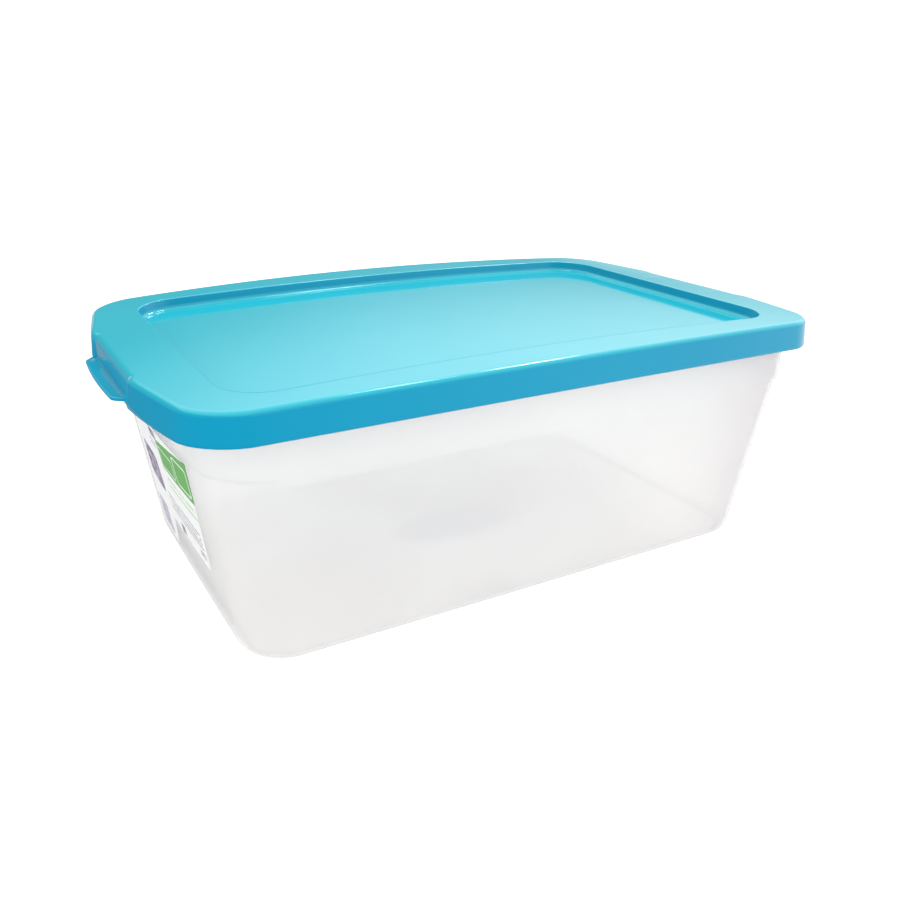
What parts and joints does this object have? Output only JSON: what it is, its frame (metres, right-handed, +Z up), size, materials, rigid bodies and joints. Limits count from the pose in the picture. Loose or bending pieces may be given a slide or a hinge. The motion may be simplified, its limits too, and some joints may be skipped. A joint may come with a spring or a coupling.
{
  "type": "snap lid storage box",
  "caption": "Shallow rectangular storage box: a clear tapered plastic tub under a snap-fit coloured lid with a recessed top and a pull tab at each end.",
  "frame": {"origin": "centre of the underside, on the surface the box stands on", "axes": "+X along the box's length, +Y across it, +Z up; the label is on the -X end wall"},
  "size_m": [0.35, 0.2154, 0.1236],
  "materials": {
    "clear_plastic": "clear polypropylene, slightly milky, polished outside",
    "lid_plastic": "opaque aqua blue moulded plastic, glossy with a fine satin panel",
    "label_film": "printed adhesive film, satin"
  },
  "bodies": {
    "tub_body": {"tub": "clear_plastic", "label": "label_film"},
    "lid_body": {"lid": "lid_plastic"}
  },
  "joints": [
    {"name": "lid_lift", "type": "slide", "parent": "tub_body", "child": "lid_body", "axis": [0, 0, 1], "range_m": [0, 0.15]}
  ]
}
